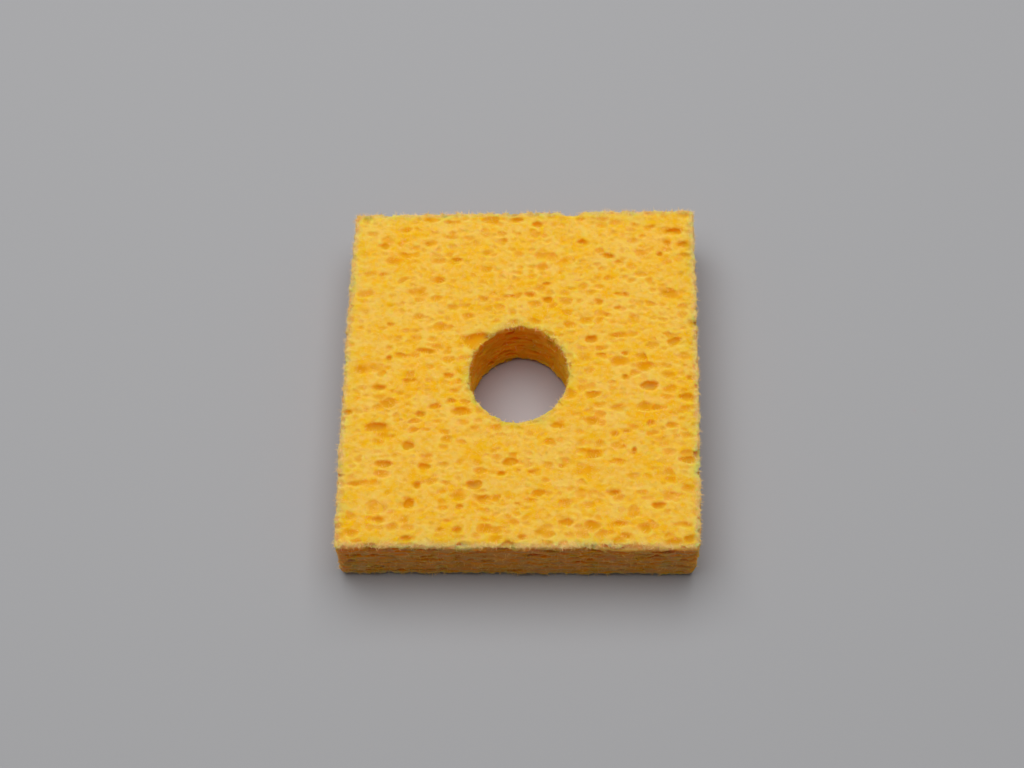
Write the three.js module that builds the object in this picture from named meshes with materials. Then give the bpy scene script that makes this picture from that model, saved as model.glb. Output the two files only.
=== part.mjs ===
// A cleaning sponge for a soldering iron's tip: one piece of cellulose foam, die-cut to a rectangle
// with a round hole through it that catches the solder wiped off the tip.
//
// Millimetres, +Z up. The sponge lies flat, its outline centred on the origin.

import * as THREE from "three";
import { mergeVertices } from "three/addons/utils/BufferGeometryUtils.js";

// The steel-rule die that cuts the sponge out of a sheet.
const DIE_WIDTH = 63.5;
const DIE_DEPTH = 69.85;
const CORNER_RADIUS = 1.2;

// The sheet of foam, swollen and dried again.
const THICKNESS = 12.7;

// What the cut and the foam's own spring do to the outline.
const SIDE_BOW = 0.35; // each long side stands out this far at its middle
const BACK_SKEW = 0.5; // the back edge is this far out at the right corner and in at the left
const UNDERCUT = 0.5; // the lower edge is drawn in this far all round
const LEAN = -0.45; // and the lower face is shifted this far along X

// The hole is cut round, 19 mm across, and relaxes to an oval.
const HOLE_WIDTH = 17.7;
const HOLE_LENGTH = 19.6;
const HOLE_OFF_CENTRE = new THREE.Vector2(-0.4, -0.15);

const HOLE_FACETS = 64;
const EDGE_STEPS = 8;

const FOAM_YELLOW = 0xf6bf4a;

// The upper face's edge, anticlockwise from the front left corner.
function sponge_outline() {
  const right = DIE_WIDTH / 2;
  const front = -DIE_DEPTH / 2;
  const back_left = DIE_DEPTH / 2 - BACK_SKEW;
  const back_right = DIE_DEPTH / 2 + BACK_SKEW;
  const r = CORNER_RADIUS;
  const outline = new THREE.Shape();
  outline.moveTo(-right + r, front);
  outline.lineTo(right - r, front);
  outline.quadraticCurveTo(right, front, right, front + r);
  outline.quadraticCurveTo(right + 2 * SIDE_BOW, 0, right, back_right - r);
  outline.quadraticCurveTo(right, back_right, right - r, back_right);
  outline.lineTo(-right + r, back_left);
  outline.quadraticCurveTo(-right, back_left, -right, back_left - r);
  outline.quadraticCurveTo(-right - 2 * SIDE_BOW, 0, -right, front + r);
  outline.quadraticCurveTo(-right, front, -right + r, front);
  return outline;
}

function solder_hole() {
  const { x, y } = HOLE_OFF_CENTRE;
  const rim = new THREE.EllipseCurve(x, y, HOLE_WIDTH / 2, HOLE_LENGTH / 2, 0, 2 * Math.PI, true);
  return new THREE.Path(rim.getPoints(HOLE_FACETS));
}

// Draws the outer wall's lower edge in and shifts it, and leaves the hole's wall upright.
function undercut_outer_wall(geometry) {
  const position = geometry.getAttribute("position");
  const half_width = DIE_WIDTH / 2;
  const half_depth = DIE_DEPTH / 2;
  for (let i = 0; i < position.count; i += 1) {
    const x = position.getX(i);
    const y = position.getY(i);
    const from_hole = Math.hypot(x - HOLE_OFF_CENTRE.x, y - HOLE_OFF_CENTRE.y);
    const is_outer_wall = from_hole > HOLE_LENGTH;
    if (is_outer_wall && position.getZ(i) < THICKNESS / 2) {
      position.setX(i, x * (1 - UNDERCUT / half_width) + LEAN);
      position.setY(i, y * (1 - UNDERCUT / half_depth));
    }
  }
}

function sponge_geometry() {
  const outline = sponge_outline();
  outline.holes.push(solder_hole());
  const extruded = new THREE.ExtrudeGeometry(outline, {
    depth: THICKNESS,
    curveSegments: EDGE_STEPS,
    bevelEnabled: false,
  });
  undercut_outer_wall(extruded);
  extruded.computeBoundingBox();
  const middle = extruded.boundingBox.getCenter(new THREE.Vector3());
  extruded.translate(-middle.x, -middle.y, 0);
  extruded.deleteAttribute("normal");
  extruded.deleteAttribute("uv");
  const geometry = mergeVertices(extruded, 1e-4);
  geometry.computeVertexNormals();
  return geometry;
}

const cellulose_foam = new THREE.MeshStandardMaterial({
  color: FOAM_YELLOW,
  roughness: 0.95,
  metalness: 0,
});

const sponge = new THREE.Mesh(sponge_geometry(), cellulose_foam);
sponge.name = "cleaning_sponge";

const part = new THREE.Group();
part.add(sponge);

export default part;
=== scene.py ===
"""A cleaning sponge for a soldering iron's tip, in dry yellow cellulose foam.

The foam is grown as a field of depth and voids inside the die-cut outline, so the same voids open on the
faces, on the cut edges and on the hole's wall. Lengths in the node trees are millimetres until the last
step, which brings the mesh to metres.
"""

import math

import bpy
from mathutils import Matrix, Vector


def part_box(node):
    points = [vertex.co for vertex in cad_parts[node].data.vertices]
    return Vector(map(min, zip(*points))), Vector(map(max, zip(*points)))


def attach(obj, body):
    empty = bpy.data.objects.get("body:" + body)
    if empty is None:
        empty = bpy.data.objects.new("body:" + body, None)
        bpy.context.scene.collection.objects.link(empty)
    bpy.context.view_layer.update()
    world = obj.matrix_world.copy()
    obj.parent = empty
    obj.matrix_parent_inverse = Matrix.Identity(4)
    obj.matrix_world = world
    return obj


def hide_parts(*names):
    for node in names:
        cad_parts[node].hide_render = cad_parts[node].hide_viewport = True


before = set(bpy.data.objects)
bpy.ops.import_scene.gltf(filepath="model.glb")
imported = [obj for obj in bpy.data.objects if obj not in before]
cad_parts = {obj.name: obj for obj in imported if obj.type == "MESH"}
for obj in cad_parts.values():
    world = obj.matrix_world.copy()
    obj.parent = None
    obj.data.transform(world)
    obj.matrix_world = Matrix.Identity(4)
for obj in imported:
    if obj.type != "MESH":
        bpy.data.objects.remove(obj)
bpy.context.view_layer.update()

MM = 0.001
LOW, HIGH = (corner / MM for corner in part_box("cleaning_sponge"))
WIDTH, DEPTH, THICKNESS = HIGH - LOW

# The die-cut outline, as the CAD solid has it, in millimetres.
SIDE_BOW = 0.35
BACK_SKEW = 1.0
UNDERCUT = 0.5
LEAN = -0.45
HOLE_CENTRE = Vector((-0.4, -0.4, 0))
HOLE_HALF = Vector((8.85, 9.8, 1e6))

# The foam. A pore is a flattened bubble, longest across the sheet, which is X here, and thin through it.
VOXEL = 0.2
PORE_STRETCH = Vector((2.6, 1.6, 0.42))
PORE_REACH = 0.7  # pores are grown this far in from the cut walls, deeper ones never show
BOWL_STRETCH = Vector((1.6, 1.0, 1.0))  # where the sheet's face cuts the pores open they are wide bowls

# Size classes of the scattered voids: mean spacing, then the smallest and the largest reach as shares of
# it, where a negative reach leaves that place without a void, and a seed.
WALL_PORES = ((2.6, -0.25, 0.42, 1.0), (1.5, -0.12, 0.44, 2.0), (1.0, -0.3, 0.42, 3.0))
FACE_BOWLS = ((2.9, -0.5, 0.4, 1.0), (1.9, -0.1, 0.46, 2.0), (1.15, -0.2, 0.48, 3.0))
SMALLEST_SKIN = 5000  # vertices; any smaller shell is the skin of a void sealed inside the foam

# How far light travels inside the foam, in metres, and the shares of that for red, green and blue, all
# of them matched.
TRAVEL_IN_FACE = 0.0035
TRAVEL_IN_WALL = 0.0045
TRAVEL_BY_COLOUR = (1.0, 0.35, 0.05)

# The studio: a square softbox over the back of the sponge, and the camera in front of it.
LAMP_PLACE = Vector((-0.05, 0.18, 0.68))
LAMP_SIDE = 0.81
LAMP_POWER = 5.9
FILL_STRENGTH = 0.16
FLOOR_HALF = 1.5
CAMERA_AZIMUTH = 4.75
CAMERA_ELEVATION = 60.12
CAMERA_ROLL = -4.06
CAMERA_DISTANCE = 415.5
CAMERA_AIM = Vector((-2.11, 4.53, 0))
CAMERA_LENS = 78.4

# The larger pores that open on the upper face, placed one by one: x, y, length and width in millimetres.
UPPER_PORES = (
    (-17.3, 32.7, 3.0, 1.3),
    (-13.2, 32.2, 3.2, 1.1),
    (-1.7, 32.7, 3.2, 1.4),
    (2.5, 31.7, 2.2, 1.4),
    (24.0, 31.2, 2.2, 0.8),
    (28.0, 30.1, 3.4, 1.7),
    (-1.3, 29.7, 1.8, 1.0),
    (-13.5, 28.9, 3.0, 1.1),
    (-3.8, 28.3, 1.8, 1.2),
    (11.2, 27.7, 2.2, 1.6),
    (30.0, 27.3, 2.8, 1.4),
    (26.5, 27.5, 2.0, 1.2),
    (-17.3, 27.5, 2.6, 1.2),
    (-26.0, 27.0, 2.2, 1.4),
    (15.6, 24.8, 2.4, 1.3),
    (30.0, 24.7, 3.0, 1.1),
    (-12.3, 23.9, 2.5, 1.0),
    (17.8, 23.2, 2.0, 1.0),
    (-1.0, 20.9, 2.0, 0.9),
    (15.8, 19.7, 2.2, 0.9),
    (-15.5, 19.3, 2.4, 1.4),
    (4.5, 18.7, 1.8, 1.0),
    (26.8, 16.7, 2.5, 1.4),
    (18.3, 16.3, 2.5, 1.2),
    (1.3, 16.3, 2.5, 1.2),
    (-2.5, 15.8, 3.0, 1.0),
    (-7.0, 15.4, 2.0, 1.2),
    (4.9, 15.2, 2.1, 1.5),
    (14.2, 14.7, 1.5, 1.3),
    (17.5, 13.5, 1.2, 0.9),
    (-1.8, 12.2, 1.3, 1.2),
    (15.2, 11.9, 2.2, 1.1),
    (-18.2, 11.4, 2.4, 0.9),
    (18.8, 10.0, 1.2, 0.8),
    (-24.0, 9.8, 1.3, 0.9),
    (-20.4, 8.4, 3.0, 1.0),
    (17.5, 7.5, 4.0, 1.3),
    (12.8, 6.8, 2.3, 1.8),
    (27.7, 6.3, 2.6, 1.8),
    (-17.5, 4.1, 4.0, 1.0),
    (19.1, 3.7, 1.8, 1.1),
    (8.6, 3.3, 1.5, 1.1),
    (-13.0, -1.1, 2.3, 1.3),
    (-20.0, -2.1, 2.6, 1.2),
    (23.2, -3.0, 3.2, 1.9),
    (-25.3, -3.4, 2.8, 1.4),
    (29.8, -5.4, 3.2, 1.4),
    (-15.3, -7.4, 2.5, 1.2),
    (24.5, -7.5, 2.2, 1.2),
    (-10.5, -8.4, 3.8, 1.8),
    (-17.8, -9.0, 2.2, 1.2),
    (23.3, -10.8, 1.6, 1.4),
    (6.8, -11.2, 2.6, 1.3),
    (-25.5, -11.6, 4.0, 2.0),
    (19.0, -12.2, 1.6, 1.0),
    (-19.7, -15.3, 2.2, 1.8),
    (18.3, -15.5, 1.3, 1.0),
    (20.4, -16.4, 1.1, 1.5),
    (-16.4, -17.5, 2.2, 1.1),
    (29.8, -18.1, 3.2, 1.4),
    (-1.5, -18.5, 3.0, 1.6),
    (-24.0, -18.9, 3.2, 1.4),
    (-16.6, -19.5, 2.2, 1.4),
    (-3.0, -21.0, 1.8, 0.9),
    (-28.0, -22.8, 4.3, 1.3),
    (-7.7, -23.0, 2.8, 2.0),
    (16.8, -24.4, 3.2, 1.2),
    (27.3, -24.9, 4.0, 0.9),
    (-6.3, -25.8, 3.4, 1.3),
    (-19.0, -26.8, 2.0, 2.0),
    (24.6, -27.0, 2.6, 1.4),
    (8.6, -30.3, 3.0, 1.4),
    (-24.3, -30.2, 2.6, 1.2),
    (28.7, -30.7, 3.2, 1.2),
    (12.0, -31.8, 1.7, 0.8),
    (-10.4, -31.9, 1.8, 1.3),
    (4.3, -32.2, 2.8, 1.3),
    (14.8, -32.2, 2.0, 0.7),
    (18.9, -32.9, 2.2, 1.2),
    (-19.0, -33.5, 2.6, 1.3),
    (30.0, -33.5, 2.6, 1.5),
    (10.5, 32.7, 1.8, 1.0),
    (20.6, 31.6, 1.5, 0.9),
    (-28.7, 29.8, 1.8, 0.7),
    (25.3, 25.1, 1.2, 1.2),
    (10.8, 22.8, 1.5, 0.6),
    (-20.5, 20.6, 1.8, 0.5),
    (-25.8, 20.6, 2.0, 0.8),
    (19.0, 20.0, 1.5, 0.7),
    (28.5, 15.4, 2.0, 0.8),
    (22.4, 13.2, 1.0, 0.8),
    (-10.0, 11.6, 1.5, 0.7),
    (-14.4, 9.8, 1.8, 0.8),
    (-25.5, 8.9, 2.0, 0.8),
    (-24.0, 2.6, 1.2, 1.0),
    (18.9, -1.2, 1.5, 1.2),
    (30.5, -1.4, 1.6, 1.2),
    (-12.0, -4.2, 2.0, 0.8),
    (-21.5, -4.7, 1.4, 0.8),
    (15.0, -5.3, 1.6, 0.8),
    (-12.3, -6.2, 2.0, 1.0),
    (29.0, -8.2, 2.4, 1.0),
    (-30.8, -8.7, 2.0, 1.4),
    (10.3, -8.9, 2.0, 0.9),
    (-22.0, -10.2, 2.0, 0.7),
    (27.0, -11.0, 1.8, 1.2),
    (-16.8, -12.0, 1.8, 0.7),
    (17.2, -13.0, 1.4, 1.0),
    (-3.2, -13.2, 1.4, 0.7),
    (-22.8, -13.4, 1.8, 0.8),
    (-4.8, -13.6, 1.4, 0.7),
    (-25.0, -16.5, 1.5, 0.6),
    (7.8, -19.2, 2.0, 0.9),
    (2.8, -20.5, 1.8, 0.9),
    (-12.8, -22.8, 1.8, 0.8),
    (-17.8, -23.2, 1.4, 1.4),
    (9.7, -23.7, 1.4, 0.8),
    (-10.2, -27.5, 1.4, 1.2),
    (-12.5, -30.2, 2.2, 0.8),
    (23.3, -30.3, 1.6, 0.9),
    (17.8, -30.7, 2.5, 0.9),
    (-2.2, -31.4, 2.0, 0.8),
    (-13.5, -32.0, 1.6, 0.7),
    (1.0, -33.2, 1.8, 1.0),
)

# Wide bubbles that the knife only grazed.
GRAZED_PORES = (
    (-19.2, 16.6, 4.4, 2.8),
    (-9.1, 27.1, 3.2, 1.8),
    (-27.0, 0.6, 5.6, 2.2),
    (-8.0, -12.4, 3.8, 2.2),
    (-24.8, -27.6, 4.6, 2.6),
    (8.0, 23.6, 4.2, 2.4),
    (12.0, -20.0, 5.0, 2.4),
    (26.0, -14.4, 4.6, 2.4),
)

# Voids that the die cut through and left open at an edge: centre and size along x, y and z.
EDGE_BITES = (
    ((8.8, 34.8, THICKNESS - 0.6), (4.6, 2.2, 3.4)),
    ((-7.9, 6.3, THICKNESS + 0.1), (5.6, 3.8, 2.2)),
    ((8.4, 2.2, THICKNESS - 2.0), (2.0, 2.2, 1.8)),
    ((-2.4, -9.9, THICKNESS), (2.6, 1.0, 1.6)),
    ((5.4, -34.6, THICKNESS), (2.0, 1.8, 1.0)),
    ((-26.0, -35.3, THICKNESS), (6.5, 1.6, 1.5)),
    ((-1.4, -34.9, THICKNESS - 0.2), (2.6, 1.6, 0.9)),
    ((20.0, -35.3, THICKNESS), (5.6, 1.5, 1.6)),
    ((28.0, -35.4, THICKNESS), (3.4, 1.2, 1.4)),
    ((-17.5, -35.4, THICKNESS + 0.1), (3.6, 1.3, 1.2)),
    ((-9.5, -35.3, THICKNESS + 0.2), (6.5, 1.4, 1.5)),
    ((14.0, -35.4, THICKNESS + 0.1), (3.4, 1.5, 1.2)),
)


def add(tree, kind, sockets=(), **settings):
    """Adds a node, makes its settings and fills its sockets from links, nodes or plain values."""
    node = tree.nodes.new(kind)
    for name, value in settings.items():
        setattr(node, name, value)
    for key, value in dict(sockets).items():
        if isinstance(value, bpy.types.Node):
            value = value.outputs[0]
        if isinstance(value, bpy.types.NodeSocket):
            tree.links.new(value, node.inputs[key])
        else:
            node.inputs[key].default_value = value
    return node


def new_tree(name, inputs, outputs):
    """A geometry tree with named sockets, and its input and output nodes."""
    tree = bpy.data.node_groups.new(name, "GeometryNodeTree")
    for label, kind, default in inputs:
        socket = tree.interface.new_socket(label, in_out="INPUT", socket_type=kind)
        if default is not None:
            socket.default_value = default
    for label, kind in outputs:
        tree.interface.new_socket(label, in_out="OUTPUT", socket_type=kind)
    return tree, tree.nodes.new("NodeGroupInput"), tree.nodes.new("NodeGroupOutput")


def resting_on_floor(tree, geometry):
    """Flattens whatever reaches below the floor onto it."""
    place = add(tree, "ShaderNodeSeparateXYZ", {0: add(tree, "GeometryNodeInputPosition")}).outputs
    lifted = add(tree, "ShaderNodeMath", {0: place["Z"], 1: 0.0}, operation="MAXIMUM")
    kept = add(tree, "ShaderNodeCombineXYZ", {"X": place["X"], "Y": place["Y"], "Z": lifted})
    return add(tree, "GeometryNodeSetPosition", {"Geometry": geometry, "Position": kept})


def outline_tree():
    """Depth below the die-cut faces and the hole's wall, positive inside the foam."""
    number = "NodeSocketFloat"
    tree, given, result = new_tree(
        "die_cut_depth",
        [
            ("Position", "NodeSocketVector", None),
            ("Width", number, WIDTH),
            ("Depth", number, DEPTH),
            ("Thickness", number, THICKNESS),
            ("Side Bow", number, SIDE_BOW),
            ("Back Skew", number, BACK_SKEW),
            ("Undercut", number, UNDERCUT),
            ("Lean", number, LEAN),
            ("Hole Centre", "NodeSocketVector", HOLE_CENTRE),
            ("Hole Half Size", "NodeSocketVector", HOLE_HALF),
            ("Corner Radius", number, 1.2),
            ("Edge Softness", number, 0.8),
            ("Worn Under Edge", number, 1.9),
        ],
        [
            ("Below Face", number),
            ("From Rim", number),
            ("From Faces", number),
            ("From Walls", number),
            ("From Hole", number),
        ],
    )
    given_at = given.outputs
    place = add(tree, "ShaderNodeSeparateXYZ", {0: given_at["Position"]}).outputs
    half_width = add(tree, "ShaderNodeMath", {0: given_at["Width"], 1: 0.5}, operation="MULTIPLY")
    half_depth = add(tree, "ShaderNodeMath", {0: given_at["Depth"], 1: 0.5}, operation="MULTIPLY")

    rise = add(tree, "ShaderNodeMath", {0: place["Z"], 1: given_at["Thickness"]}, operation="DIVIDE")
    fall = add(tree, "ShaderNodeMath", {0: 1.0, 1: rise}, operation="SUBTRACT")
    inset = add(tree, "ShaderNodeMath", {0: fall, 1: given_at["Undercut"]}, operation="MULTIPLY")

    along = add(tree, "ShaderNodeMath", {0: place["Y"], 1: half_depth}, operation="DIVIDE")
    along_squared = add(tree, "ShaderNodeMath", {0: along, 1: along}, operation="MULTIPLY")
    bow = add(tree, "ShaderNodeMath", {0: along_squared, 1: given_at["Side Bow"]}, operation="MULTIPLY")
    side_reach = add(tree, "ShaderNodeMath", {0: half_width, 1: bow}, operation="SUBTRACT")
    side_cut = add(tree, "ShaderNodeMath", {0: side_reach, 1: inset}, operation="SUBTRACT")
    lean = add(tree, "ShaderNodeMath", {0: fall, 1: given_at["Lean"]}, operation="MULTIPLY")
    upright = add(tree, "ShaderNodeMath", {0: place["X"], 1: lean}, operation="SUBTRACT")
    off_middle = add(tree, "ShaderNodeMath", {0: upright}, operation="ABSOLUTE")
    from_side = add(tree, "ShaderNodeMath", {0: side_cut, 1: off_middle}, operation="SUBTRACT")

    to_front = add(tree, "ShaderNodeMath", {0: place["Y"], 1: half_depth}, operation="ADD")
    from_front = add(tree, "ShaderNodeMath", {0: to_front, 1: inset}, operation="SUBTRACT")
    to_back = add(tree, "ShaderNodeMath", {0: half_depth, 1: place["Y"]}, operation="SUBTRACT")
    sideways = add(
        tree,
        "ShaderNodeMapRange",
        {
            "Value": place["X"],
            "From Min": add(tree, "ShaderNodeMath", {0: half_width, 1: -1.0}, operation="MULTIPLY"),
            "From Max": half_width,
            "To Min": given_at["Back Skew"],
            "To Max": 0.0,
        },
    )
    behind_skew = add(tree, "ShaderNodeMath", {0: to_back, 1: sideways}, operation="SUBTRACT")
    from_back = add(tree, "ShaderNodeMath", {0: behind_skew, 1: inset}, operation="SUBTRACT")
    from_ends = add(tree, "ShaderNodeMath", {0: from_front, 1: from_back}, operation="MINIMUM")
    from_edge = add(
        tree,
        "ShaderNodeMath",
        {0: from_side, 1: from_ends, 2: given_at["Corner Radius"]},
        operation="SMOOTH_MIN",
    )

    from_axis = add(
        tree,
        "ShaderNodeVectorMath",
        {0: given_at["Position"], 1: given_at["Hole Centre"]},
        operation="SUBTRACT",
    )
    evened = add(
        tree, "ShaderNodeVectorMath", {0: from_axis, 1: given_at["Hole Half Size"]}, operation="DIVIDE"
    )
    share = add(tree, "ShaderNodeVectorMath", {0: evened}, operation="LENGTH").outputs["Value"]
    past_rim = add(tree, "ShaderNodeMath", {0: share, 1: 1.0}, operation="SUBTRACT")
    hole_half = add(tree, "ShaderNodeSeparateXYZ", {0: given_at["Hole Half Size"]}).outputs["X"]
    from_hole = add(tree, "ShaderNodeMath", {0: past_rim, 1: hole_half}, operation="MULTIPLY")

    below_top = add(tree, "ShaderNodeMath", {0: given_at["Thickness"], 1: place["Z"]}, operation="SUBTRACT")
    from_faces = add(tree, "ShaderNodeMath", {0: below_top, 1: place["Z"]}, operation="MINIMUM")
    from_walls = add(tree, "ShaderNodeMath", {0: from_edge, 1: from_hole}, operation="MINIMUM")
    softness = add(
        tree,
        "ShaderNodeMapRange",
        {"Value": fall, "To Min": given_at["Edge Softness"], "To Max": given_at["Worn Under Edge"]},
    )
    below_face = add(
        tree, "ShaderNodeMath", {0: from_faces, 1: from_walls, 2: softness}, operation="SMOOTH_MIN"
    )
    from_rim = add(tree, "ShaderNodeMath", {0: from_faces, 1: from_walls}, operation="MAXIMUM")
    tree.links.new(below_face.outputs[0], result.inputs["Below Face"])
    tree.links.new(from_rim.outputs[0], result.inputs["From Rim"])
    tree.links.new(from_faces.outputs[0], result.inputs["From Faces"])
    tree.links.new(from_walls.outputs[0], result.inputs["From Walls"])
    tree.links.new(from_hole.outputs[0], result.inputs["From Hole"])
    return tree


def pore_tree():
    """Flattened bubbles of one size class, scattered evenly; positive inside a bubble, in millimetres."""
    number = "NodeSocketFloat"
    tree, given, result = new_tree(
        "scattered_pores",
        [
            ("Position", "NodeSocketVector", None),
            ("Stretch", "NodeSocketVector", PORE_STRETCH),
            ("Spacing", number, 2.0),
            ("Smallest", number, 0.1),
            ("Largest", number, 0.5),
            ("Seed", number, 0.0),
        ],
        [("Inside Pore", number)],
    )
    given_at = given.outputs
    evened = add(
        tree,
        "ShaderNodeVectorMath",
        {0: given_at["Position"], 1: given_at["Stretch"]},
        operation="DIVIDE",
    )
    spread = add(
        tree, "ShaderNodeVectorMath", {0: (37, 53, 71), "Scale": given_at["Seed"]}, operation="SCALE"
    )
    seeded = add(tree, "ShaderNodeVectorMath", {0: evened, 1: spread}, operation="ADD")
    cells = add(
        tree,
        "ShaderNodeTexVoronoi",
        {
            "Vector": seeded,
            "Scale": add(tree, "ShaderNodeMath", {0: 1.0, 1: given_at["Spacing"]}, operation="DIVIDE"),
            "Randomness": 1.0,
        },
    )
    chance = add(tree, "ShaderNodeSeparateXYZ", {0: cells.outputs["Color"]})
    reach = add(
        tree,
        "ShaderNodeMapRange",
        {
            "Value": chance.outputs["X"],
            "To Min": given_at["Smallest"],
            "To Max": given_at["Largest"],
        },
    )
    inside = add(tree, "ShaderNodeMath", {0: reach, 1: cells.outputs["Distance"]}, operation="SUBTRACT")
    inside_mm = add(tree, "ShaderNodeMath", {0: inside, 1: given_at["Spacing"]}, operation="MULTIPLY")
    tree.links.new(inside_mm.outputs[0], result.inputs["Inside Pore"])
    return tree


def bowl_tree():
    """Shallow bowls of one size class on the sheet's faces; positive inside a bowl, in millimetres."""
    number = "NodeSocketFloat"
    tree, given, result = new_tree(
        "face_bowls",
        [
            ("Position", "NodeSocketVector", None),
            ("Below Face", number, 0.0),
            ("Stretch", "NodeSocketVector", BOWL_STRETCH),
            ("Flatness", number, 0.5),
            ("Spacing", number, 2.0),
            ("Smallest", number, 0.1),
            ("Largest", number, 0.5),
            ("Seed", number, 0.0),
        ],
        [("Inside Bowl", number)],
    )
    given_at = given.outputs
    evened = add(
        tree,
        "ShaderNodeVectorMath",
        {0: given_at["Position"], 1: given_at["Stretch"]},
        operation="DIVIDE",
    )
    spread = add(
        tree, "ShaderNodeVectorMath", {0: (41, 59, 0), "Scale": given_at["Seed"]}, operation="SCALE"
    )
    seeded = add(tree, "ShaderNodeVectorMath", {0: evened, 1: spread}, operation="ADD")
    cells = add(
        tree,
        "ShaderNodeTexVoronoi",
        {
            "Vector": seeded,
            "Scale": add(tree, "ShaderNodeMath", {0: 1.0, 1: given_at["Spacing"]}, operation="DIVIDE"),
            "Randomness": 1.0,
        },
        voronoi_dimensions="2D",
    )
    chance = add(tree, "ShaderNodeSeparateXYZ", {0: cells.outputs["Color"]})
    reach = add(
        tree,
        "ShaderNodeMapRange",
        {
            "Value": chance.outputs["X"],
            "To Min": given_at["Smallest"],
            "To Max": given_at["Largest"],
        },
    )
    down = add(
        tree, "ShaderNodeMath", {0: given_at["Below Face"], 1: given_at["Flatness"]}, operation="DIVIDE"
    )
    down_cells = add(tree, "ShaderNodeMath", {0: down, 1: given_at["Spacing"]}, operation="DIVIDE")
    away = add(tree, "ShaderNodeCombineXYZ", {"X": cells.outputs["Distance"], "Y": down_cells})
    distance = add(tree, "ShaderNodeVectorMath", {0: away}, operation="LENGTH").outputs["Value"]
    inside = add(tree, "ShaderNodeMath", {0: reach, 1: distance}, operation="SUBTRACT")
    inside_mm = add(tree, "ShaderNodeMath", {0: inside, 1: given_at["Spacing"]}, operation="MULTIPLY")
    tree.links.new(inside_mm.outputs[0], result.inputs["Inside Bowl"])
    return tree


def listed_pore_points():
    """The pores that are placed one by one, as points that carry their half sizes. The points stand closer
    together along the pores' long side, so that the nearest one is the pore that a place is in."""
    pores = []
    for x, y, length, width in UPPER_PORES:
        pores.append(((x, y, THICKNESS + 0.1 * width), (0.55 * length, 0.56 * width, 0.54 * width)))
    for x, y, length, width in GRAZED_PORES:
        pores.append(((x, y, THICKNESS + 0.03 * width), (length / 2, width / 2, 0.16 * width)))
    for centre, size in EDGE_BITES:
        pores.append((centre, tuple(side / 2 for side in size)))
    mesh = bpy.data.meshes.new("listed_pores")
    evened = [[at / stretch for at, stretch in zip(centre, BOWL_STRETCH)] for centre, _ in pores]
    mesh.from_pydata(evened, [], [])
    half_size = mesh.attributes.new("half_size", "FLOAT_VECTOR", "POINT")
    for value, (_, half) in zip(half_size.data, pores):
        value.vector = half
    points = bpy.data.objects.new("listed_pores", mesh)
    bpy.context.scene.collection.objects.link(points)
    return points


def listed_pore_tree():
    """Depth inside the nearest of the listed pores, in millimetres, from their points."""
    number = "NodeSocketFloat"
    tree, given, result = new_tree(
        "listed_pores",
        [
            ("Position", "NodeSocketVector", None),
            ("Points", "NodeSocketGeometry", None),
        ],
        [("Inside Pore", number)],
    )
    given_at = given.outputs
    evened_place = add(
        tree, "ShaderNodeVectorMath", {0: given_at["Position"], 1: BOWL_STRETCH}, operation="DIVIDE"
    )
    nearest = add(
        tree,
        "GeometryNodeSampleNearest",
        {"Geometry": given_at["Points"], "Sample Position": evened_place},
        domain="POINT",
    )
    evened_centre = add(
        tree,
        "GeometryNodeSampleIndex",
        {"Geometry": given_at["Points"], "Index": nearest},
        data_type="FLOAT_VECTOR",
        domain="POINT",
    )
    tree.links.new(add(tree, "GeometryNodeInputPosition").outputs[0], evened_centre.inputs["Value"])
    centre = add(tree, "ShaderNodeVectorMath", {0: evened_centre, 1: BOWL_STRETCH}, operation="MULTIPLY")
    half_size = add(
        tree,
        "GeometryNodeSampleIndex",
        {"Geometry": given_at["Points"], "Index": nearest},
        data_type="FLOAT_VECTOR",
        domain="POINT",
    )
    named = add(tree, "GeometryNodeInputNamedAttribute", {"Name": "half_size"}, data_type="FLOAT_VECTOR")
    tree.links.new(named.outputs[0], half_size.inputs["Value"])
    away = add(tree, "ShaderNodeVectorMath", {0: given_at["Position"], 1: centre}, operation="SUBTRACT")
    evened = add(tree, "ShaderNodeVectorMath", {0: away, 1: half_size}, operation="DIVIDE")
    share = add(tree, "ShaderNodeVectorMath", {0: evened}, operation="LENGTH").outputs["Value"]
    inside = add(tree, "ShaderNodeMath", {0: 1.0, 1: share}, operation="SUBTRACT")
    smallest_side = add(tree, "ShaderNodeSeparateXYZ", {0: half_size}).outputs["Z"]
    inside_mm = add(tree, "ShaderNodeMath", {0: inside, 1: smallest_side}, operation="MULTIPLY")
    tree.links.new(inside_mm.outputs[0], result.inputs["Inside Pore"])
    return tree


def merged_voids(tree, kind, sizes, settings):
    """One group of voids for each size class, merged softly."""
    merged = None
    for spacing, smallest, largest, seed in sizes:
        one_size = add(tree, "GeometryNodeGroup", node_tree=kind)
        for label, value in settings.items():
            source = value.outputs[0] if isinstance(value, bpy.types.Node) else value
            tree.links.new(source, one_size.inputs[label])
        one_size.inputs["Spacing"].default_value = spacing
        one_size.inputs["Smallest"].default_value = smallest
        one_size.inputs["Largest"].default_value = largest
        one_size.inputs["Seed"].default_value = seed
        if merged is None:
            merged = one_size
        else:
            merged = add(tree, "ShaderNodeMath", {0: merged, 1: one_size, 2: 0.1}, operation="SMOOTH_MAX")
    return merged


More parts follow.
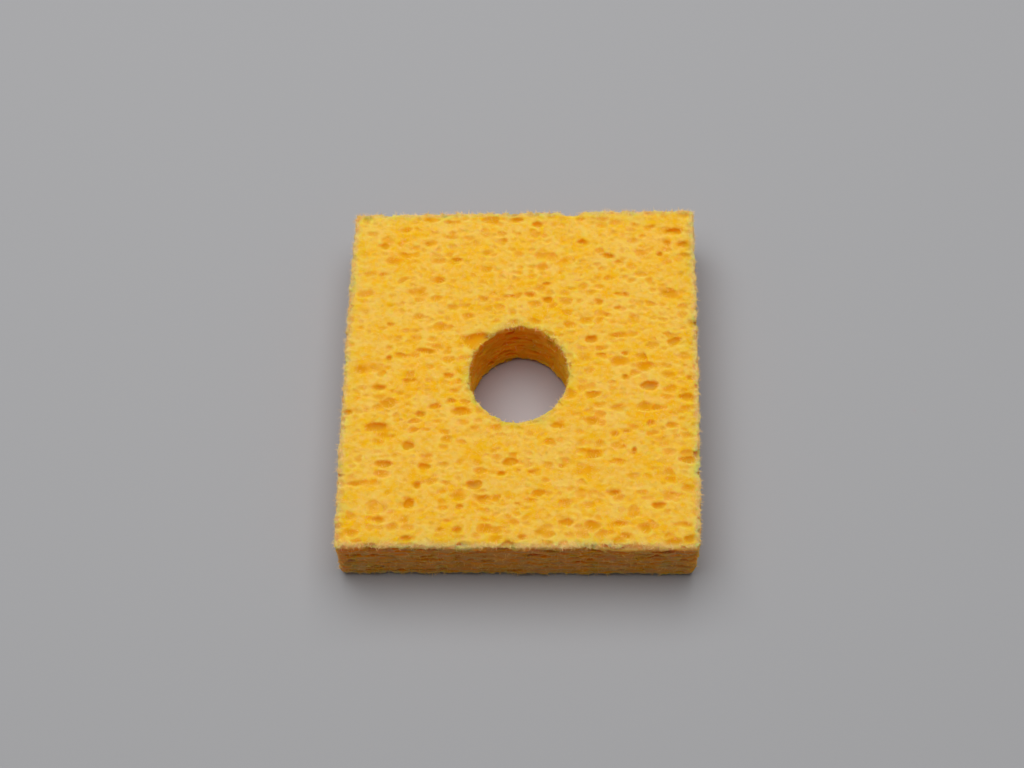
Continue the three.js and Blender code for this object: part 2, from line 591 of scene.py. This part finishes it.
def foam_tree():
    """The whole sponge: the die-cut depth less the pores and the felt's roughness, meshed in even voxels."""
    number = "NodeSocketFloat"
    tree, given, result = new_tree(
        "cellulose_foam",
        [
            ("Geometry", "NodeSocketGeometry", None),
            ("Voxel", number, VOXEL),
            ("Pore Reach", number, PORE_REACH),
            ("Felt Roughness", number, 0.42),
            ("Rim Raggedness", number, 2.5),
            ("Layer Relief", number, 1.0),
            ("Outline Warp", number, 0.9),
            ("Rim Softness", number, 0.3),
            ("Pore Warp", number, 1.0),
            ("Pore Lean", number, 0.35),
            ("Listed Pores", "NodeSocketObject", None),
            ("Material", "NodeSocketMaterial", None),
        ],
        [("Geometry", "NodeSocketGeometry")],
    )
    given_at = given.outputs
    position = add(tree, "GeometryNodeInputPosition")

    warp_noise = add(tree, "ShaderNodeTexNoise", {"Vector": position, "Scale": 0.55, "Detail": 1.5})
    warp_centred = add(
        tree,
        "ShaderNodeVectorMath",
        {0: warp_noise.outputs["Color"], 1: (0.5, 0.5, 0.5)},
        operation="SUBTRACT",
    )
    warp = add(
        tree, "ShaderNodeVectorMath", {0: warp_centred, "Scale": given_at["Pore Warp"]}, operation="SCALE"
    )
    warped = add(tree, "ShaderNodeVectorMath", {0: position, 1: warp}, operation="ADD")
    level_warp = add(
        tree, "ShaderNodeVectorMath", {0: warp_centred, 1: (1.0, 1.0, 0.3)}, operation="MULTIPLY"
    )
    edge_warp = add(
        tree, "ShaderNodeVectorMath", {0: level_warp, "Scale": given_at["Outline Warp"]}, operation="SCALE"
    )
    outline_place = add(tree, "ShaderNodeVectorMath", {0: position, 1: edge_warp}, operation="ADD")
    below_face = add(tree, "GeometryNodeGroup", node_tree=outline_tree())
    tree.links.new(outline_place.outputs[0], below_face.inputs["Position"])

    felt_place = add(tree, "ShaderNodeVectorMath", {0: position, 1: (0.85, 1.0, 1.4)}, operation="MULTIPLY")
    felt = add(
        tree, "ShaderNodeTexNoise", {"Vector": felt_place, "Scale": 1.3, "Detail": 2.5, "Roughness": 0.6}
    )
    felt_centred = add(tree, "ShaderNodeMath", {0: felt.outputs["Fac"], 1: 0.42}, operation="SUBTRACT")
    roughness = add(
        tree, "ShaderNodeMath", {0: felt_centred, 1: given_at["Felt Roughness"]}, operation="MULTIPLY"
    )
    ragged = add(
        tree,
        "ShaderNodeMapRange",
        {
            "Value": below_face.outputs["From Rim"],
            "From Max": 1.3,
            "To Min": given_at["Rim Raggedness"],
            "To Max": 1.0,
        },
    )
    fuzz = add(tree, "ShaderNodeMath", {0: roughness, 1: ragged}, operation="MULTIPLY")
    layer_place = add(tree, "ShaderNodeVectorMath", {0: position, 1: (0.24, 0.24, 1.5)}, operation="MULTIPLY")
    layers = add(tree, "ShaderNodeTexNoise", {"Vector": layer_place, "Scale": 1.0, "Detail": 2.0})
    layers_centred = add(tree, "ShaderNodeMath", {0: layers.outputs["Fac"], 1: 0.46}, operation="SUBTRACT")
    on_wall = add(
        tree,
        "ShaderNodeMapRange",
        {
            "Value": below_face.outputs["From Faces"],
            "From Min": 0.3,
            "From Max": 1.5,
            "To Max": given_at["Layer Relief"],
        },
    )
    relief = add(tree, "ShaderNodeMath", {0: layers_centred, 1: on_wall}, operation="MULTIPLY")
    taken = add(tree, "ShaderNodeMath", {0: fuzz, 1: relief}, operation="ADD")
    solid = add(tree, "ShaderNodeMath", {0: below_face, 1: taken}, operation="SUBTRACT")

    voids = merged_voids(tree, pore_tree(), WALL_PORES, {"Position": warped})
    past_reach = add(
        tree,
        "ShaderNodeMath",
        {0: below_face.outputs["From Walls"], 1: given_at["Pore Reach"]},
        operation="SUBTRACT",
    )
    too_deep = add(tree, "ShaderNodeMath", {0: past_reach, 1: 0.0}, operation="MAXIMUM")
    in_walls = add(tree, "ShaderNodeMath", {0: voids, 1: too_deep}, operation="SUBTRACT")

    # the voids under the faces lean back, so that each has a steep back wall and an easy slope in front
    pushed_back = add(
        tree,
        "ShaderNodeMath",
        {0: below_face.outputs["From Faces"], 1: given_at["Pore Lean"]},
        operation="MULTIPLY",
    )
    shift = add(tree, "ShaderNodeCombineXYZ", {"Y": pushed_back})
    leaning = add(tree, "ShaderNodeVectorMath", {0: warped, 1: shift}, operation="SUBTRACT")
    on_face = {"Position": leaning, "Below Face": below_face.outputs["From Faces"]}
    in_faces = merged_voids(tree, bowl_tree(), FACE_BOWLS, on_face)
    scattered = add(tree, "ShaderNodeMath", {0: in_walls, 1: in_faces, 2: 0.1}, operation="SMOOTH_MAX")

    listed = add(tree, "GeometryNodeGroup", node_tree=listed_pore_tree())
    points = add(tree, "GeometryNodeObjectInfo", {"Object": given_at["Listed Pores"]})
    tree.links.new(leaning.outputs[0], listed.inputs["Position"])
    tree.links.new(points.outputs["Geometry"], listed.inputs["Points"])
    all_voids = add(tree, "ShaderNodeMath", {0: scattered, 1: listed, 2: 0.15}, operation="SMOOTH_MAX")
    wall = add(tree, "ShaderNodeMath", {0: all_voids, 1: -1.0}, operation="MULTIPLY")
    foam = add(
        tree, "ShaderNodeMath", {0: solid, 1: wall, 2: given_at["Rim Softness"]}, operation="SMOOTH_MIN"
    )
    density = add(tree, "ShaderNodeMath", {0: foam, 1: 0.5}, operation="ADD", use_clamp=True)

    margin = 2 * VOXEL
    low = LOW - Vector((margin,) * 3)
    high = HIGH + Vector((margin,) * 3)
    counts = [int((b - a) / VOXEL) + 1 for a, b in zip(low, high)]
    block = add(
        tree,
        "GeometryNodeVolumeCube",
        {
            "Density": density,
            "Min": low,
            "Max": high,
            "Resolution X": counts[0],
            "Resolution Y": counts[1],
            "Resolution Z": counts[2],
        },
    )
    skin = add(
        tree,
        "GeometryNodeVolumeToMesh",
        {"Volume": block, "Threshold": 0.5, "Adaptivity": 0.0},
        resolution_mode="GRID",
    )
    island = add(tree, "GeometryNodeInputMeshIsland").outputs["Island Index"]
    island_size = add(tree, "GeometryNodeAccumulateField", {"Value": 1.0, "Group ID": island})
    is_sealed = add(
        tree,
        "FunctionNodeCompare",
        {0: island_size.outputs["Total"], 1: SMALLEST_SKIN},
        operation="LESS_THAN",
    )
    one_skin = add(tree, "GeometryNodeDeleteGeometry", {"Geometry": skin, "Selection": is_sealed})
    marks = (
        ("depth_mm", "Below Face"),
        ("rim_mm", "From Rim"),
        ("sheet_face_mm", "From Faces"),
        ("hole_mm", "From Hole"),
    )
    marked = one_skin
    for name, source in marks:
        marked = add(
            tree,
            "GeometryNodeStoreNamedAttribute",
            {"Geometry": marked, "Name": name, "Value": below_face.outputs[source]},
            data_type="FLOAT",
        )
    in_metres = add(tree, "GeometryNodeTransform", {"Geometry": marked, "Scale": (MM, MM, MM)})
    resting = resting_on_floor(tree, in_metres)
    smooth = add(tree, "GeometryNodeSetShadeSmooth", {"Geometry": resting})
    realised = add(tree, "GeometryNodeRealizeInstances", {"Geometry": smooth})
    finished = add(
        tree, "GeometryNodeSetMaterial", {"Geometry": realised, "Material": given_at["Material"]}
    )
    tree.links.new(finished.outputs[0], result.inputs["Geometry"])
    return tree


def fibre_tree():
    """Short stray fibres that the cut leaves standing on the faces and, thickest of all, along the rims."""
    number = "NodeSocketFloat"
    tree, given, result = new_tree(
        "stray_fibres",
        [
            ("Geometry", "NodeSocketGeometry", None),
            ("Foam", "NodeSocketObject", None),
            ("Length", number, 0.85 * MM),
            ("Thickness", number, 0.1 * MM),
            ("At Rim", number, 30e6),
            ("On Faces", number, 0.0),
            ("Rim Width", number, 1.0),
            ("Lean", number, 1.4),
            ("Material", "NodeSocketMaterial", None),
        ],
        [("Geometry", "NodeSocketGeometry")],
    )
    given_at = given.outputs
    foam = add(tree, "GeometryNodeObjectInfo", {"Object": given_at["Foam"]}).outputs["Geometry"]
    from_rim = add(tree, "GeometryNodeInputNamedAttribute", {"Name": "rim_mm"}, data_type="FLOAT")
    by_rim = add(
        tree,
        "ShaderNodeMapRange",
        {
            "Value": from_rim,
            "From Max": given_at["Rim Width"],
            "To Min": given_at["At Rim"],
            "To Max": given_at["On Faces"],
        },
    )
    sunk = add(tree, "GeometryNodeInputNamedAttribute", {"Name": "depth_mm"}, data_type="FLOAT")
    in_reach = add(
        tree,
        "ShaderNodeMapRange",
        {"Value": sunk, "From Min": 0.3, "From Max": 0.6, "To Min": 1.0, "To Max": 0.0},
    )
    facing = add(tree, "ShaderNodeSeparateXYZ", {0: add(tree, "GeometryNodeInputNormal")})
    not_under = add(tree, "ShaderNodeMath", {0: facing.outputs["Z"], 1: -0.6}, operation="GREATER_THAN")
    on_top = add(
        tree,
        "ShaderNodeMapRange",
        {"Value": facing.outputs["Z"], "From Max": 0.7, "To Min": 0.35, "To Max": 1.0},
    )
    seen = add(tree, "ShaderNodeMath", {0: not_under, 1: on_top}, operation="MULTIPLY")
    open_share = add(tree, "ShaderNodeMath", {0: in_reach, 1: seen}, operation="MULTIPLY")
    density = add(tree, "ShaderNodeMath", {0: by_rim, 1: open_share}, operation="MULTIPLY")
    from_hole = add(tree, "GeometryNodeInputNamedAttribute", {"Name": "hole_mm"}, data_type="FLOAT")
    cleaner_cut = add(tree, "ShaderNodeMapRange", {"Value": from_hole, "From Max": 2.0, "To Min": 0.3})
    kept = add(tree, "ShaderNodeMath", {0: density, 1: cleaner_cut}, operation="MULTIPLY")
    roots = add(tree, "GeometryNodeDistributePointsOnFaces", {"Mesh": foam, "Density": kept, "Seed": 5})
    half = add(tree, "ShaderNodeMath", {0: given_at["Thickness"], 1: 0.5}, operation="MULTIPLY")
    fibre = add(
        tree,
        "GeometryNodeMeshCone",
        {"Vertices": 3, "Radius Top": 0.0, "Radius Bottom": half, "Depth": given_at["Length"]},
        fill_type="TRIANGLE_FAN",
    )
    chance = add(
        tree,
        "FunctionNodeRandomValue",
        {"Min": (-1.0, -1.0, -3.14), "Max": (1.0, 1.0, 3.14), "Seed": 11},
        data_type="FLOAT_VECTOR",
    )
    reach = add(tree, "ShaderNodeCombineXYZ", {"X": given_at["Lean"], "Y": given_at["Lean"], "Z": 1.0})
    leaning = add(tree, "ShaderNodeVectorMath", {0: chance, 1: reach}, operation="MULTIPLY")
    turned = add(
        tree,
        "FunctionNodeRotateRotation",
        {
            0: roots.outputs["Rotation"],
            1: add(tree, "FunctionNodeEulerToRotation", {0: leaning}),
        },
        rotation_space="LOCAL",
    )
    size = add(tree, "FunctionNodeRandomValue", {2: 0.35, 3: 1.2, "Seed": 13}, data_type="FLOAT")
    instances = add(
        tree,
        "GeometryNodeInstanceOnPoints",
        {"Points": roots.outputs["Points"], "Instance": fibre, "Rotation": turned, "Scale": size.outputs[1]},
    )
    realised = add(tree, "GeometryNodeRealizeInstances", {"Geometry": instances})
    resting = resting_on_floor(tree, realised)
    finished = add(
        tree, "GeometryNodeSetMaterial", {"Geometry": resting, "Material": given_at["Material"]}
    )
    tree.links.new(finished.outputs[0], result.inputs["Geometry"])
    return tree


def linear(hex_colour):
    """An sRGB hex colour as the linear RGBA that shaders take."""
    channels = [int(hex_colour[i : i + 2], 16) / 255 for i in (1, 3, 5)]
    return tuple(c / 12.92 if c <= 0.04045 else ((c + 0.055) / 1.055) ** 2.4 for c in channels) + (1.0,)


def cellulose_material():
    """Dry viscose cellulose sponge, dyed through and cut with a steel rule: matt, fibrous, blotched with dye.
    Light sinks in and comes back redder, which gives the pores part of their orange glow; the rest is painted
    shade in the base colour, which also paints shade and glow on the cut walls and a highlight on the rims."""
    material = bpy.data.materials.new("dry_cellulose_sponge")
    material.use_nodes = True
    tree = material.node_tree
    tree.nodes.clear()
    place = add(tree, "ShaderNodeTexCoord").outputs["Object"]
    in_mm = add(tree, "ShaderNodeVectorMath", {0: place, 1: (1000, 1000, 1000)}, operation="MULTIPLY")
    streaked = add(tree, "ShaderNodeVectorMath", {0: in_mm, 1: (0.85, 1.0, 1.6)}, operation="MULTIPLY")
    flecks = add(tree, "ShaderNodeTexNoise", {"Vector": streaked, "Scale": 1.1, "Detail": 5.0})
    clouds = add(tree, "ShaderNodeTexNoise", {"Vector": streaked, "Scale": 0.28, "Detail": 2.0})
    blotches = add(
        tree, "ShaderNodeMix", {"Factor": 0.45, "A": flecks.outputs["Fac"], "B": clouds.outputs["Fac"]}
    )
    dye = add(tree, "ShaderNodeValToRGB", {"Fac": blotches})
    dye.color_ramp.elements[0].position = 0.38
    dye.color_ramp.elements[0].color = linear("#FCBC1A")
    dye.color_ramp.elements[1].position = 0.6
    dye.color_ramp.elements[1].color = linear("#FDCC5E")
    # painted shade: the colour turns a deeper orange with depth inside a void, for the shade and the reddened
    # bounced light in the pores
    depth = add(tree, "ShaderNodeAttribute", attribute_name="depth_mm").outputs["Fac"]
    sunk = add(tree, "ShaderNodeMapRange", {"Value": depth, "From Min": 0.08, "From Max": 0.5})
    colour = add(
        tree,
        "ShaderNodeMix",
        {"Factor": sunk, 6: dye.outputs["Color"], 7: linear("#EDA80A")},
        data_type="RGBA",
    )
    along_face = add(tree, "ShaderNodeAttribute", attribute_name="sheet_face_mm").outputs["Fac"]
    # the walls' painted shade and glow run right down to the lower edge, and under it only as far as the rim
    height = add(tree, "ShaderNodeSeparateXYZ", {0: in_mm}).outputs["Z"]
    is_low = add(tree, "ShaderNodeMath", {0: height, 1: THICKNESS / 2}, operation="LESS_THAN")
    from_rim = add(tree, "ShaderNodeAttribute", attribute_name="rim_mm").outputs["Fac"]
    near_rim = add(
        tree, "ShaderNodeMapRange", {"Value": from_rim, "From Max": 1.6, "To Min": 1.6, "To Max": 0.0}
    )
    low_rim = add(tree, "ShaderNodeMath", {0: near_rim, 1: is_low}, operation="MULTIPLY")
    up_wall = add(tree, "ShaderNodeMath", {0: along_face, 1: low_rim}, operation="ADD")
    on_wall = add(
        tree, "ShaderNodeMapRange", {"Value": up_wall, "From Min": 0.4, "From Max": 1.7, "To Max": 0.95}
    )
    from_hole = add(tree, "ShaderNodeAttribute", attribute_name="hole_mm").outputs["Fac"]
    outside = add(tree, "ShaderNodeMapRange", {"Value": from_hole, "From Min": 2.0, "From Max": 6.0})
    layered = add(tree, "ShaderNodeVectorMath", {0: in_mm, 1: (0.2, 0.2, 2.1)}, operation="MULTIPLY")
    layers = add(tree, "ShaderNodeTexNoise", {"Vector": layered, "Scale": 1.0, "Detail": 5.0})
    glow = add(
        tree, "ShaderNodeMapRange", {"Value": layers.outputs["Fac"], "From Min": 0.4, "From Max": 0.62}
    )
    # painted shade and glow: the outer cut walls darker and browner than the faces for the shade on them, the
    # hole's wall a brighter orange for the light bounced about inside the hole
    outer_wall_painted_shade = add(
        tree,
        "ShaderNodeMix",
        {"Factor": glow, 6: linear("#D0945C"), 7: linear("#EA8210")},
        data_type="RGBA",
    )
    hole_wall_painted_glow = add(
        tree,
        "ShaderNodeMix",
        {"Factor": glow, 6: linear("#FFB02A"), 7: linear("#FF9A0A")},
        data_type="RGBA",
    )
    wall_painted_shade_and_glow = add(
        tree,
        "ShaderNodeMix",
        {"Factor": outside, 6: hole_wall_painted_glow.outputs[2], 7: outer_wall_painted_shade.outputs[2]},
        data_type="RGBA",
    )
    wall_or_face = add(
        tree,
        "ShaderNodeMix",
        {"Factor": on_wall, 6: colour.outputs[2], 7: wall_painted_shade_and_glow.outputs[2]},
        data_type="RGBA",
    )
    # paler towards the rims: partly the fuzz of the cut, partly a painted highlight where the rims catch the
    # light; weaker by the hole, whose rim stands in shade
    rim_fuzz_and_highlight_share = add(tree, "ShaderNodeMapRange", {"Value": outside, "To Min": 0.15, "To Max": 0.65})
    rim_fuzz_and_highlight = add(
        tree,
        "ShaderNodeMapRange",
        {"Value": from_rim, "From Min": 0.1, "From Max": 1.3, "To Min": rim_fuzz_and_highlight_share, "To Max": 0.0},
    )
    cut_colour = add(
        tree,
        "ShaderNodeMix",
        {"Factor": rim_fuzz_and_highlight, 6: wall_or_face.outputs[2], 7: linear("#F6CC94")},
        data_type="RGBA",
    )
    felt = add(
        tree, "ShaderNodeTexNoise", {"Vector": streaked, "Scale": 4.0, "Detail": 4.0, "Roughness": 0.7}
    )
    bump = add(
        tree, "ShaderNodeBump", {"Height": felt.outputs["Fac"], "Distance": 0.0003, "Strength": 0.5}
    )
    # light is let travel a little further inside a cut wall than inside a face
    travel = add(
        tree, "ShaderNodeMapRange", {"Value": on_wall, "To Min": TRAVEL_IN_FACE, "To Max": TRAVEL_IN_WALL}
    )
    surface = add(
        tree,
        "ShaderNodeBsdfPrincipled",
        {
            "Base Color": cut_colour.outputs[2],
            "Roughness": 0.95,
            "IOR": 1.47,
            "Specular IOR Level": 0.06,
            "Subsurface Weight": 1.0,
            "Subsurface Radius": TRAVEL_BY_COLOUR,
            "Subsurface Scale": travel,
            "Normal": bump.outputs["Normal"],
        },
    )
    add(tree, "ShaderNodeOutputMaterial", {"Surface": surface})
    return material


def fibre_material(name, deep, pale):
    """Loose regenerated cellulose fibre, paler than the foam: a painted glow for the light that shines
    through the thin strands.
    The real strands are too thin to show, so these are drawn a few times as thick."""
    material = bpy.data.materials.new(name)
    material.use_nodes = True
    tree = material.node_tree
    tree.nodes.clear()
    place = add(tree, "ShaderNodeTexCoord").outputs["Object"]
    variation = add(tree, "ShaderNodeTexNoise", {"Vector": place, "Scale": 400.0})
    colour = add(
        tree,
        "ShaderNodeMix",
        {"Factor": variation.outputs["Fac"], 6: linear(deep), 7: linear(pale)},
        data_type="RGBA",
    )
    surface = add(
        tree,
        "ShaderNodeBsdfPrincipled",
        {"Base Color": colour.outputs[2], "Roughness": 0.6, "IOR": 1.53},
    )
    add(tree, "ShaderNodeOutputMaterial", {"Surface": surface})
    return material


def floor_material():
    """A plain pale studio surface."""
    material = bpy.data.materials.new("pale_floor")
    material.use_nodes = True
    surface = material.node_tree.nodes["Principled BSDF"]
    surface.inputs["Base Color"].default_value = linear("#A4A4A6")
    surface.inputs["Roughness"].default_value = 0.8
    return material


def evaluated_mesh(tree, settings, name):
    """Runs a geometry tree on an empty mesh and returns the result as a plain object."""
    host = bpy.data.objects.new(name + "_host", bpy.data.meshes.new(name + "_host"))
    bpy.context.scene.collection.objects.link(host)
    modifier = host.modifiers.new(name, "NODES")
    modifier.node_group = tree
    sockets = {item.name: item.identifier for item in tree.interface.items_tree if item.in_out == "INPUT"}
    for label, value in settings.items():
        modifier[sockets[label]] = value
    depsgraph = bpy.context.evaluated_depsgraph_get()
    mesh = bpy.data.meshes.new_from_object(host.evaluated_get(depsgraph))
    mesh.name = name
    piece = bpy.data.objects.new(name, mesh)
    bpy.context.scene.collection.objects.link(piece)
    bpy.data.objects.remove(host)
    return piece


def make_sponge():
    """The foam in place of the CAD solid, and its loose fibres, all on the one body."""
    points = listed_pore_points()
    foam = evaluated_mesh(
        foam_tree(), {"Listed Pores": points, "Material": cellulose_material()}, "sponge_foam"
    )
    bpy.data.objects.remove(points)
    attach(foam, "root")
    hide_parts("cleaning_sponge")

    strands = fibre_tree()
    fibre = fibre_material("loose_cellulose_fibre", "#FFC04C", "#FFD684")
    # the rim fibres are paler still: a painted highlight for the light they catch along the rims
    rim_fibre_painted_highlight = fibre_material("rim_cellulose_fibre_painted_highlight", "#FFCE6C", "#FFE2A0")
    on_rims = evaluated_mesh(strands, {"Foam": foam, "Material": rim_fibre_painted_highlight}, "rim_fibres")
    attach(on_rims, "root")

    fine = {
        "Foam": foam,
        "Material": fibre,
        "At Rim": 3.5e6,
        "On Faces": 3.5e6,
        "Length": 0.75 * MM,
        "Thickness": 0.08 * MM,
        "Lean": 1.5,
    }
    on_faces = evaluated_mesh(strands, fine, "face_fibres")
    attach(on_faces, "root")


def make_stage():
    """A plain pale floor, a large soft light from above and behind, and a faint fill from all round."""
    mesh = bpy.data.meshes.new("floor")
    half = FLOOR_HALF
    corners = [(-half, -half, 0), (half, -half, 0), (half, half, 0), (-half, half, 0)]
    mesh.from_pydata(corners, [], [(0, 1, 2, 3)])
    floor = bpy.data.objects.new("floor", mesh)
    floor.data.materials.append(floor_material())
    bpy.context.scene.collection.objects.link(floor)

    world = bpy.data.worlds.new("studio")
    bpy.context.scene.world = world
    world.use_nodes = True
    fill = world.node_tree.nodes["Background"]
    fill.inputs["Color"].default_value = (1.0, 1.0, 1.0, 1.0)
    fill.inputs["Strength"].default_value = FILL_STRENGTH

    lamp = bpy.data.lights.new("softbox", "AREA")
    lamp.shape = "SQUARE"
    lamp.size = LAMP_SIDE
    lamp.energy = LAMP_POWER
    softbox = bpy.data.objects.new("softbox", lamp)
    bpy.context.scene.collection.objects.link(softbox)
    softbox.location = LAMP_PLACE
    softbox.rotation_mode = "QUATERNION"
    softbox.rotation_quaternion = (-LAMP_PLACE).to_track_quat("-Z", "Y")


def make_camera():
    """Looks down on the sponge from in front, a little from the right and turned a little."""
    azimuth = math.radians(CAMERA_AZIMUTH)
    elevation = math.radians(CAMERA_ELEVATION)
    roll = math.radians(CAMERA_ROLL)
    back = Vector(
        (
            math.sin(azimuth) * math.cos(elevation),
            -math.cos(azimuth) * math.cos(elevation),
            math.sin(elevation),
        )
    )
    level = Vector((math.cos(azimuth), math.sin(azimuth), 0))
    right = level * math.cos(roll) + back.cross(level) * math.sin(roll)
    turn = Matrix((right, back.cross(right), back)).transposed()
    data = bpy.data.cameras.new("camera")
    data.lens = CAMERA_LENS
    data.sensor_width = 36.0
    data.clip_start = 0.01
    camera = bpy.data.objects.new("camera", data)
    bpy.context.scene.collection.objects.link(camera)
    camera.location = (CAMERA_AIM + back * CAMERA_DISTANCE) * MM
    camera.rotation_mode = "QUATERNION"
    camera.rotation_quaternion = turn.to_quaternion()
    bpy.context.scene.camera = camera


make_sponge()
make_stage()
make_camera()
bpy.context.scene.view_settings.view_transform = "Standard"
bpy.context.scene.cycles.diffuse_bounces = 8
